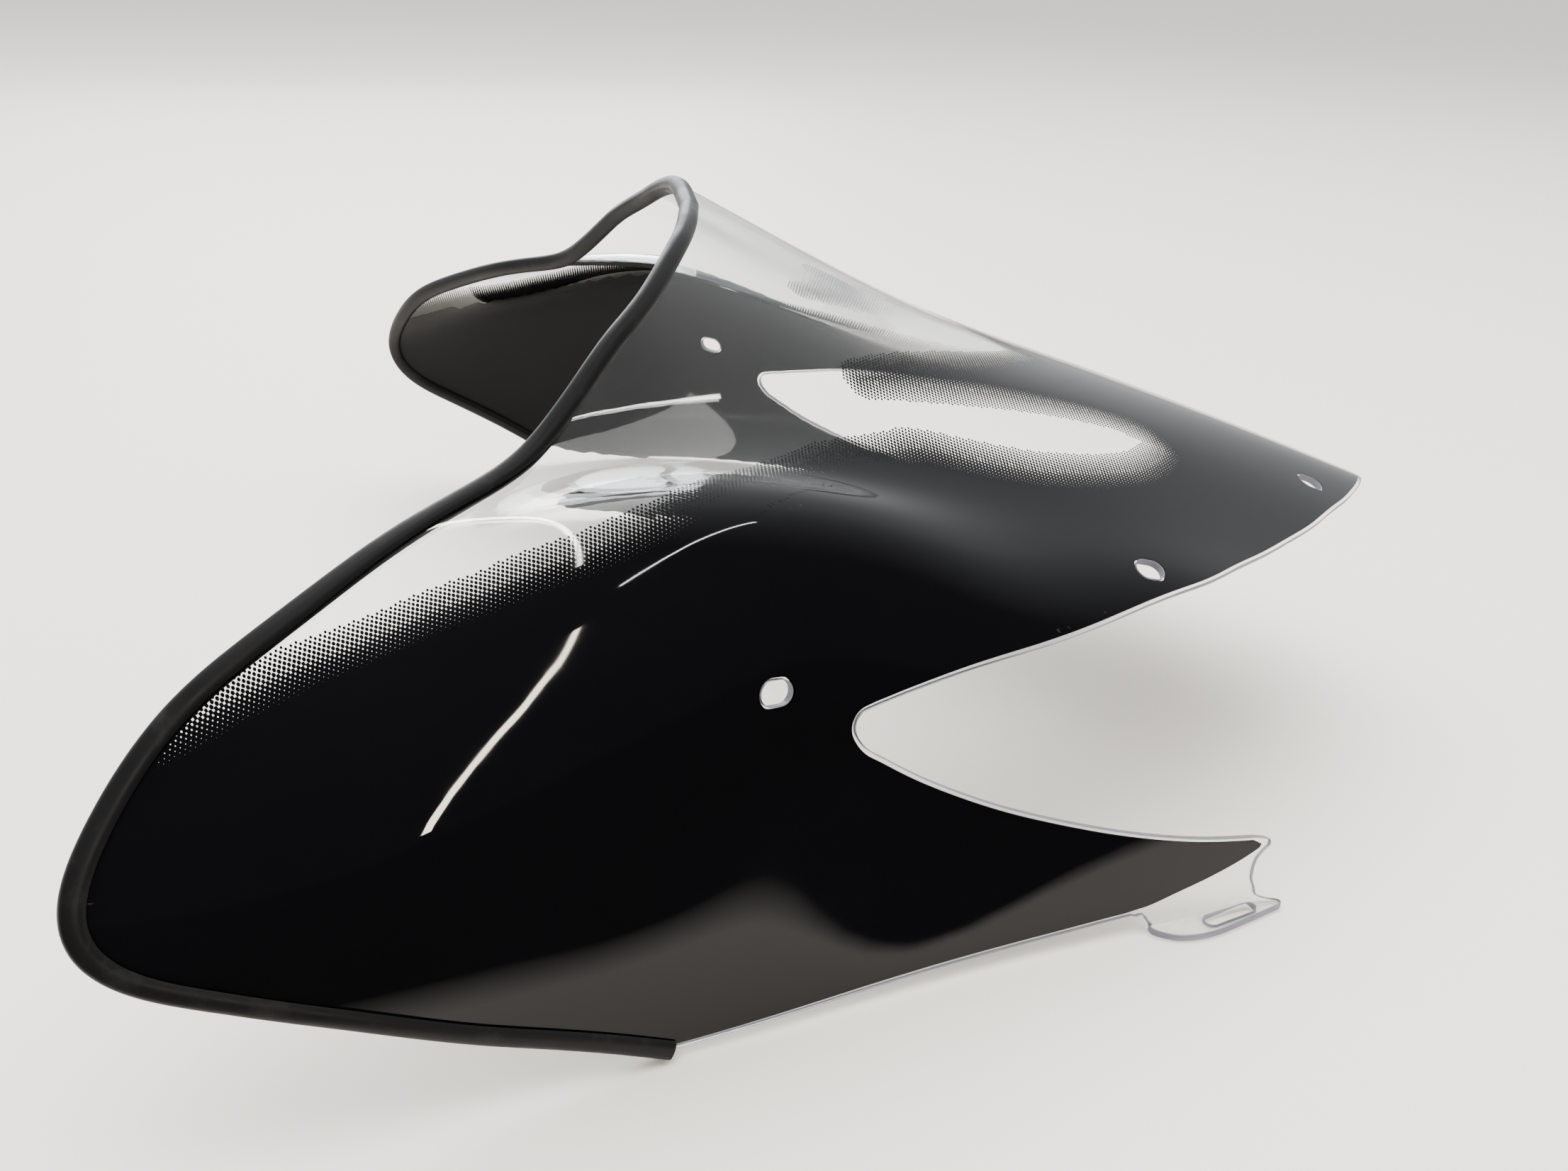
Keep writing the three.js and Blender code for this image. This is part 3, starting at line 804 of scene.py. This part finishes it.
def make_print():
    outline = print_outline()
    holes = [hole_loop(place, HOLE_MARGIN) for place in HOLE_PLACES]
    places, triangles, _ = region(outline, holes)
    share = ink_share(to_plane(places))
    solid = triangles[(share[triangles] > SOLID_FROM).all(1)]
    dots, cells = dot_cells(outline, holes)
    used = np.unique(solid)
    renumber = np.full(len(places), -1)
    renumber[used] = np.arange(len(used))
    solid = renumber[solid]
    middle, normal, _, _ = surface(np.vstack([places[used], dots]))
    dot_points, dot_normals = middle[len(used):], normal[len(used):]
    middle, normal = middle[: len(used)], normal[: len(used)]
    half = SHEET / 2
    points = [
        middle + normal * (half + SOLID_LIFT), middle - normal * (half + SATIN_DROP),
        dot_points + dot_normals * (half + DOT_LIFT), dot_points + dot_normals * (half - DOT_SINK),
    ]
    normals = [normal, -normal, dot_normals, -dot_normals]
    starts = np.cumsum([0] + [len(p) for p in points])
    faces = solid.tolist() + (solid[:, ::-1] + starts[1]).tolist()
    material_of = [0] * len(solid) + [1] * len(solid)
    faces += [[k + starts[2] for k in cell] for cell in cells]
    faces += [[k + starts[3] for k in reversed(cell)] for cell in cells]
    material_of += [0] * len(cells) + [1] * len(cells)
    gloss = ink("print_gloss", (0.005, 0.005, 0.006), 0.015, 0.05, 14, 0.0005, 0.5)
    # painted shade near the dots: a darker colour than the satin's own, with a glossier roughness
    near_dots_shade = ((0.003, 0.003, 0.003), 0.08)
    satin = ink("print_satin_and_dot_shade", (0.012, 0.0123, 0.0138), 0.5, 0.12, 900, 0.00004, 0.22, near_dots_shade)
    ob = mesh_object(
        "screen_print", np.vstack(points), faces, np.vstack(normals), [gloss, satin], material_of
    )
    # mask of the painted shade: 0 at the solid print's edge by the dots, 1 where the satin keeps its own
    # tone; the dots get 0, so their satin undersides take full painted shade
    shade_fade = np.clip((share[used] - SATIN_SHADE_FROM) / SATIN_SHADE_EASE, 0, 1)
    shade_fade = np.hstack([shade_fade, shade_fade, np.zeros(2 * len(dots))])
    ob.data.attributes.new(PAINTED_SHADE_FADE, "FLOAT", "POINT").data.foreach_set("value", shade_fade)
    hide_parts("printed_mask")
    return ob


# ------------------------------------------------------------------ the rubber channel
TRIM_MIDDLE = 0.7  # the section's centre, inwards from the sheet's edge
TRIM_RADIUS = 3.35
TRIM_SQUARE = 2.5  # the outside's power: 2 is a circle, and more is squarer
TRIM_SLOT = SHEET / 2 + 0.15  # half the slot's height
TRIM_SLOT_BACK = -0.2  # the slot's closed end,
TRIM_SLOT_MIDDLE = 1.5  # and a point half way to its lips
TRIM_LIP = 0.35  # the lips' height,
TRIM_LIP_SLANT = 0.25  # and how far their inner edge lies behind the outer one
TRIM_OVERHANG = 1.4  # how far it runs past the end of the rear edge
TRIM_STEPS = 25


def trim_profile():
    """The channel's section as (inwards, up): a soft square outside, lip to lip, then its slot."""
    power = 2 / TRIM_SQUARE
    start = math.asin(((TRIM_SLOT + TRIM_LIP) / TRIM_RADIUS) ** (1 / power))
    outside = []
    for t in np.linspace(-start, start - 2 * math.pi, TRIM_STEPS):
        c, s = math.cos(t), math.sin(t)
        outside.append((
            TRIM_MIDDLE + TRIM_RADIUS * math.copysign(abs(c) ** power, c),
            TRIM_RADIUS * math.copysign(abs(s) ** power, s),
        ))
    reach = [outside[0][0] - TRIM_LIP_SLANT, TRIM_SLOT_MIDDLE, TRIM_SLOT_BACK]
    slot = [(inwards, TRIM_SLOT) for inwards in reach]
    slot += [(inwards, -TRIM_SLOT) for inwards in reversed(reach)]
    return np.array(outside + slot)


def make_trim():
    edge = smooth(REAR_EDGE, 1.6, LONG_REACH)
    run = unit(sheet_points(edge[-1:]) - sheet_points(edge[-2:-1]))
    edge = np.vstack([edge, moved(edge[-1:], run * TRIM_OVERHANG)])
    profile = trim_profile()
    _, _, away = loop_frame(edge, closed=False)
    away[0] = unit(away[0] * (0, 1, 1))
    rings = np.empty((len(edge), len(profile), 3))
    for k, (inwards, up) in enumerate(profile):
        places = moved(edge, -away * max(inwards, 0))
        places[0, 0] = 0
        points, normals, _, _ = surface(places)
        rings[:, k] = points + normals * up + away * max(-inwards, 0)
    rings = np.vstack([rings[:0:-1] * (-1, 1, 1), rings])
    around = len(profile)
    faces = []
    for j in range(len(rings) - 1):
        for k in range(around):
            a, b = j * around + k, j * around + (k + 1) % around
            faces.append([a, b, b + around, a + around])
    back = TRIM_STEPS // 2
    upper_back, lower_back = TRIM_STEPS + 2, TRIM_STEPS + 3  # the slot's two inner corners
    caps = [
        list(range(0, back + 1)) + list(range(lower_back, around)),
        list(range(back, upper_back + 1)),
        [back, upper_back, lower_back],
    ]
    last = (len(rings) - 1) * around
    for cap in caps:
        faces.append(cap[::-1])
        faces.append([last + k for k in cap])
    me = bpy.data.meshes.new("rubber_channel")
    me.from_pydata((rings.reshape(-1, 3) / 1000).tolist(), [], faces)
    me.materials.append(rubber())
    me.update()
    me.shade_smooth()
    me.set_sharp_from_angle(angle=math.radians(40))
    ob = bpy.data.objects.new("rubber_channel", me)
    bpy.context.scene.collection.objects.link(ob)
    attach(ob, "root")
    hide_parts("edge_trim")
    return ob


# ------------------------------------------------------------------ stage, light and camera
# From here on, places and lengths are in metres, except the camera's place.
FLOOR_COLOUR = (0.78, 0.745, 0.69)
FLOOR_REACH = 60.0
FLOOR_DROP = 0.0004
SKY = 0.75  # what lights the floor far from the lamps
TABLE_EDGE = (-0.285, -0.262)  # across this stretch of x the floor ends as reflections show it, giving way to a painted dark reflection
OVERHEAD = {"place": (0.4, 0.2, 2.6), "size": (3.2, 3.2), "power": 90, "colour": (1, 0.985, 0.95)}
FAR_SIDE = {"place": (2.3, 0.5, 1.1), "size": (1.6, 1.6), "power": 26, "colour": (0.95, 0.975, 1)}
SIDE_STRIP = {"place": (-1.9, -0.6, 0.95), "size": (0.04, 1.7), "power": 6, "colour": (1, 0.9, 0.76)}
TOP_STRIPS = [(0.7, 0.55, 3.0, 21), (-0.7, -1.05, 1.6, -32)]  # x, y, length, degrees from the X axis
TOP_STRIP_HEIGHT = 2.2
TOP_STRIP_WIDTH = 0.035
TOP_STRIP_POWER = 2.5  # for each metre


def mirrored(tree):
    """1 for what is seen as a reflection in a polished surface, 0 for everything else."""
    path = tree.nodes.new("ShaderNodeLightPath")
    node = tree.nodes.new("ShaderNodeMath")
    node.operation = "SUBTRACT"
    node.use_clamp = True
    tree.links.new(path.outputs["Is Glossy Ray"], node.inputs[0])
    tree.links.new(path.outputs["Is Transmission Ray"], node.inputs[1])
    return node.outputs[0]


def floor_material():
    """Pale floor. In polished surfaces it ends on the -X side, close to the part, as a table would: past
    that edge they show a painted dark reflection.
    """
    mat, tree, node = shader("floor_pale", Base_Color=(*FLOOR_COLOUR, 1), Roughness=0.6)
    place = tree.nodes.new("ShaderNodeNewGeometry")
    split = tree.nodes.new("ShaderNodeSeparateXYZ")
    tree.links.new(place.outputs["Position"], split.inputs[0])
    both = tree.nodes.new("ShaderNodeMath")
    both.operation = "MULTIPLY"
    tree.links.new(ranged(tree, split.outputs["X"], *TABLE_EDGE, 1, 0), both.inputs[0])
    tree.links.new(mirrored(tree), both.inputs[1])
    # painted dark reflection: a faint dark glow that only polished surfaces see, past the table edge
    dark = tree.nodes.new("ShaderNodeEmission")
    dark.inputs["Color"].default_value = (0.012, 0.012, 0.013, 1)
    either(tree, both.outputs[0], node, dark)
    return mat


def area_light(name, target, place, size, power, colour, turn=0.0):
    data = bpy.data.lights.new(name, "AREA")
    data.shape = "RECTANGLE"
    data.size, data.size_y = size
    data.energy = power
    data.color = colour
    ob = bpy.data.objects.new(name, data)
    ob.location = place
    aim = (Vector(target) - Vector(place)).to_track_quat("-Z", "Y").to_matrix()
    ob.rotation_euler = (aim @ Matrix.Rotation(turn, 3, "Z")).to_euler()
    bpy.context.scene.collection.objects.link(ob)
    return ob


def make_floor():
    me = bpy.data.meshes.new("floor")
    corners = [(x * FLOOR_REACH, y * FLOOR_REACH, 0) for x, y in [(-1, -1), (1, -1), (1, 1), (-1, 1)]]
    me.from_pydata(corners, [], [(0, 1, 2, 3)])
    me.materials.append(floor_material())
    floor = bpy.data.objects.new("floor", me)
    floor.location.z = -FLOOR_DROP
    bpy.context.scene.collection.objects.link(floor)


def make_lights():
    """A soft panel overhead, a panel that only reflections show, and three thin strips."""
    overhead = area_light("overhead", (0, 0, 0), **OVERHEAD)
    overhead.visible_glossy = False
    far_side = area_light("far_side", (0, 0, 0.1), **FAR_SIDE)
    far_side.visible_diffuse = False
    area_light("strip_side", (-0.2, 0.1, 0.1), **SIDE_STRIP)
    for k, (x, y, length, turn) in enumerate(TOP_STRIPS):
        area_light(
            f"strip_top_{k}", (x, y, 0), (x, y, TOP_STRIP_HEIGHT), (length, TOP_STRIP_WIDTH),
            TOP_STRIP_POWER * length, (1, 0.98, 0.94), math.radians(turn),
        )


def make_world():
    """An even pale surrounding. In polished surfaces it is dark on the -X side and pale on the other."""
    world = bpy.data.worlds.new("studio")
    bpy.context.scene.world = world
    world.use_nodes = True
    tree = world.node_tree
    where = tree.nodes.new("ShaderNodeTexCoord")
    split = tree.nodes.new("ShaderNodeSeparateXYZ")
    tree.links.new(where.outputs["Generated"], split.inputs[0])
    ramp = tree.nodes.new("ShaderNodeValToRGB")
    dark, pale = ramp.color_ramp.elements
    dark.color = (0.035, 0.036, 0.04, 1)
    dark.position = 0.38
    pale.color = (0.62, 0.63, 0.64, 1)
    pale.position = 0.72
    tree.links.new(ranged(tree, split.outputs["X"], -1, 1, 0, 1), ramp.inputs[0])
    lit = blended(tree, mirrored(tree), (SKY, SKY, SKY), ramp.outputs[0])
    path = tree.nodes.new("ShaderNodeLightPath")
    like_the_floor = [c * SKY for c in FLOOR_COLOUR]
    seen = blended(tree, path.outputs["Is Camera Ray"], lit, like_the_floor)
    tree.links.new(seen, tree.nodes["Background"].inputs["Color"])


CAMERA_MM = (-510, 70, 288)  # in the mould's level
CAMERA_HEADING = (0.9954, -0.0954)  # x and y of the way it looks
CAMERA_PITCH = math.radians(25.48)
CAMERA_LENS = 31.9


def make_camera():
    tilt = Matrix.Rotation(-TIP, 3, "X")
    place = tilt @ Vector(CAMERA_MM) + Vector((0, REST_Y, REST_Z))
    level = Vector((*CAMERA_HEADING, 0))
    ahead = level * math.cos(CAMERA_PITCH) - Vector((0, 0, math.sin(CAMERA_PITCH)))
    right = Vector((CAMERA_HEADING[1], -CAMERA_HEADING[0], 0))
    up = right.cross(ahead)
    turn = Matrix((right, up, -ahead)).transposed()
    data = bpy.data.cameras.new("camera")
    data.lens = CAMERA_LENS
    data.sensor_width = 36
    data.clip_start = 0.02
    camera = bpy.data.objects.new("camera", data)
    camera.matrix_world = Matrix.Translation(place / 1000) @ (tilt @ turn).to_4x4()
    bpy.context.scene.collection.objects.link(camera)
    bpy.context.scene.camera = camera


make_camera()
make_floor()
make_lights()
make_world()
make_sheet()
make_print()
make_trim()

view = bpy.context.scene.view_settings
view.view_transform = "AgX"
view.look = "AgX - Medium High Contrast"
view.exposure = 0.5
